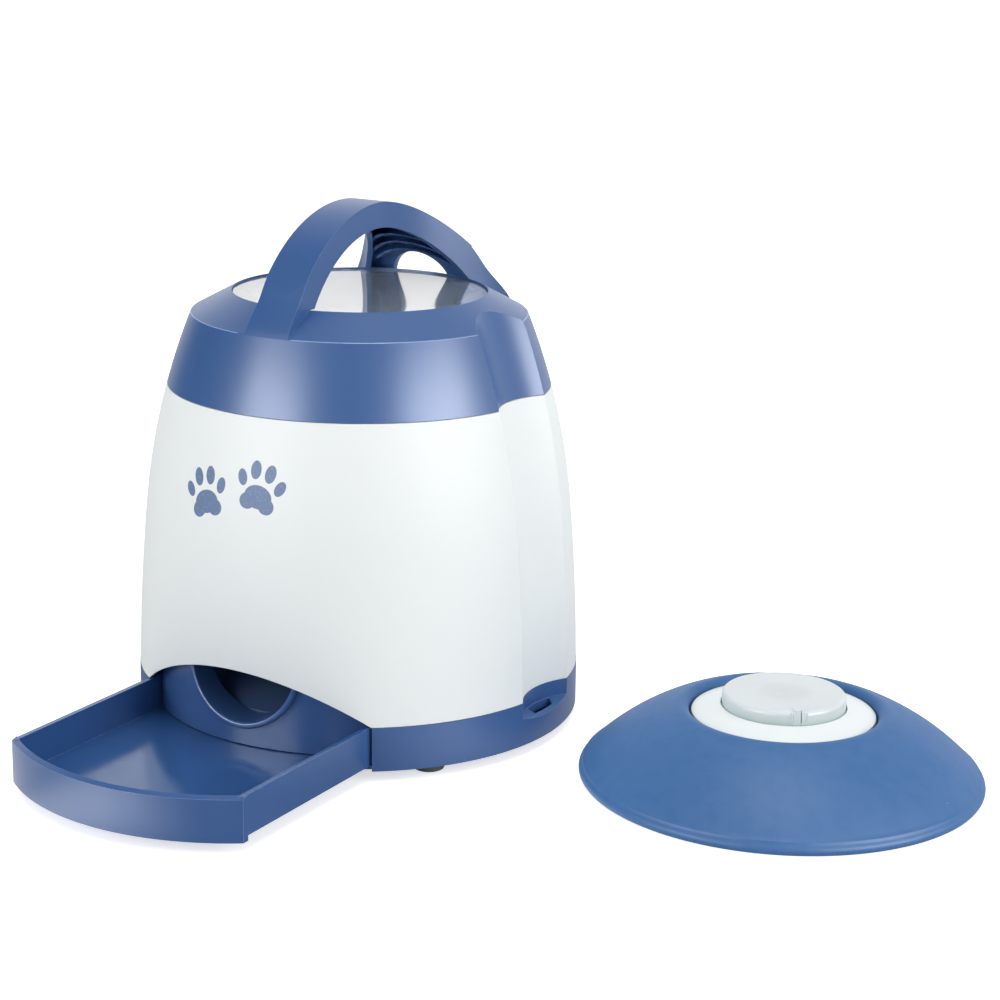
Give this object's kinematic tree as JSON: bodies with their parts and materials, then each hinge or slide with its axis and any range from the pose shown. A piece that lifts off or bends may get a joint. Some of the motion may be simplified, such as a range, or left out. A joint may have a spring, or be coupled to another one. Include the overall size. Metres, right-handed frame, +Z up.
{
  "type": "remote dog treat dispenser",
  "caption": "Barrel-shaped treat dispenser for dogs with pull-out tray, chute, hopper, arched carrying handle and a separate domed radio push button.",
  "frame": {"origin": "point on the floor under the dispenser barrel's upright axis", "axes": "+Z up, -Y towards the open tray (front), +X towards the push button"},
  "size_m": [0.4016, 0.3052, 0.2397],
  "materials": {
    "blue_plastic": "satin",
    "drawer_blue": "glossy",
    "white_plastic": "satin",
    "inner_plastic": "matt",
    "dark_plastic": "matt",
    "gear_plastic": "matt",
    "clear_plastic": "clear and glossy",
    "frosted_plastic": "frosted, slightly translucent",
    "soft_rubber": "matt and soft",
    "foot_rubber": "matt",
    "gasket_rubber": "matt",
    "steel": "plain",
    "cell_sleeve": "printed sleeve over a metal can",
    "contact_metal": "nickel plated",
    "bush_brass": "plain",
    "board_green": "solder mask",
    "chip_black": "matt",
    "led_lens": "milky"
  },
  "bodies": {
    "dispenser": {"base_housing": "blue_plastic", "rubber_feet": "foot_rubber", "case_screws": "steel", "outer_shell": "white_plastic", "chute_panel": "blue_plastic", "chute_duct": "blue_plastic", "mechanism_deck": "inner_plastic", "rotor_housing": "inner_plastic", "gear_plate": "inner_plastic", "gearbox_case": "dark_plastic", "gearbox_screws": "steel", "mechanism_screws": "steel", "shaft_bushes": "bush_brass", "idler_pin": "steel", "drive_motor": "steel", "position_switch": "dark_plastic", "hopper": "inner_plastic", "battery_box": "dark_plastic", "battery_cells": "cell_sleeve", "battery_contacts": "contact_metal", "control_board": "board_green", "board_components": "chip_black", "receiver_module": "board_green", "speaker": "chip_black", "power_switch_housing": "dark_plastic"},
    "drawer": {"treat_drawer": "drawer_blue"},
    "lid": {"lid_cover": "blue_plastic", "lid_window": "clear_plastic", "window_gasket": "gasket_rubber"},
    "rotor": {"dosing_rotor": "blue_plastic", "rotor_shaft": "steel", "rotor_gear": "gear_plastic", "index_cam": "gear_plastic"},
    "idler": {"idler_gear": "gear_plastic"},
    "motor_rotor": {"motor_pinion": "bush_brass", "motor_shaft": "steel"},
    "battery_hatch": {"battery_door": "blue_plastic"},
    "switch_slider": {"power_switch_knob": "dark_plastic"},
    "button_unit": {"button_skirt": "soft_rubber", "button_hub": "dark_plastic", "button_top_plate": "white_plastic", "tact_switch": "chip_black", "button_board": "board_green", "button_leds": "led_lens", "button_screws": "steel", "small_cells": "cell_sleeve", "small_contacts": "contact_metal", "return_spring": "steel"},
    "button_press": {"button_cap": "frosted_plastic", "cap_plunger": "inner_plastic"},
    "cell_hatch": {"cell_cover": "dark_plastic"}
  },
  "joints": [
    {"name": "drawer_slide", "type": "slide", "parent": "dispenser", "child": "drawer", "axis": [0, 1, 0], "range_m": [0, 0.093]},
    {"name": "lid_lift", "type": "slide", "parent": "dispenser", "child": "lid", "axis": [0, 0, 1], "range_m": [0, 0.12]},
    {"name": "rotor_spin", "type": "hinge", "parent": "dispenser", "child": "rotor", "pos_m": [0, -0.016, 0.095], "axis": [1, 0, 0], "continuous": true},
    {"name": "idler_spin", "type": "hinge", "parent": "dispenser", "child": "idler", "pos_m": [0.03, 0.0064, 0.095], "axis": [1, 0, 0], "continuous": true},
    {"name": "motor_spin", "type": "hinge", "parent": "dispenser", "child": "motor_rotor", "pos_m": [0.036, 0.0264, 0.095], "axis": [1, 0, 0], "continuous": true},
    {"name": "battery_door_hinge", "type": "hinge", "parent": "dispenser", "child": "battery_hatch", "pos_m": [0, 0.0692, 0.0057], "axis": [1, 0, 0], "range_deg": [0, 110]},
    {"name": "power_switch_slide", "type": "slide", "parent": "dispenser", "child": "switch_slider", "axis": [0, 1, 0], "range_m": [0, 0.004]},
    {"name": "button_unit_slide", "type": "slide", "parent": "dispenser", "child": "button_unit", "axis": [1, 0, 0], "range_m": [0, 0.3]},
    {"name": "cap_press", "type": "slide", "parent": "button_unit", "child": "button_press", "axis": [0, 0, -1], "range_m": [0, 0.003], "stiffness_N_per_m": 600, "springref_m": -0.003, "deforming": ["return_spring"]},
    {"name": "cell_cover_turn", "type": "hinge", "parent": "button_unit", "child": "cell_hatch", "pos_m": [0.2093, 0.0199, 0.0022], "axis": [0, 0, 1], "range_deg": [0, 40]}
  ],
  "couplings": [
    {"joint": "idler_spin", "follows": "rotor_spin", "ratio": -2.5},
    {"joint": "motor_spin", "follows": "rotor_spin", "ratio": 6.4286}
  ]
}
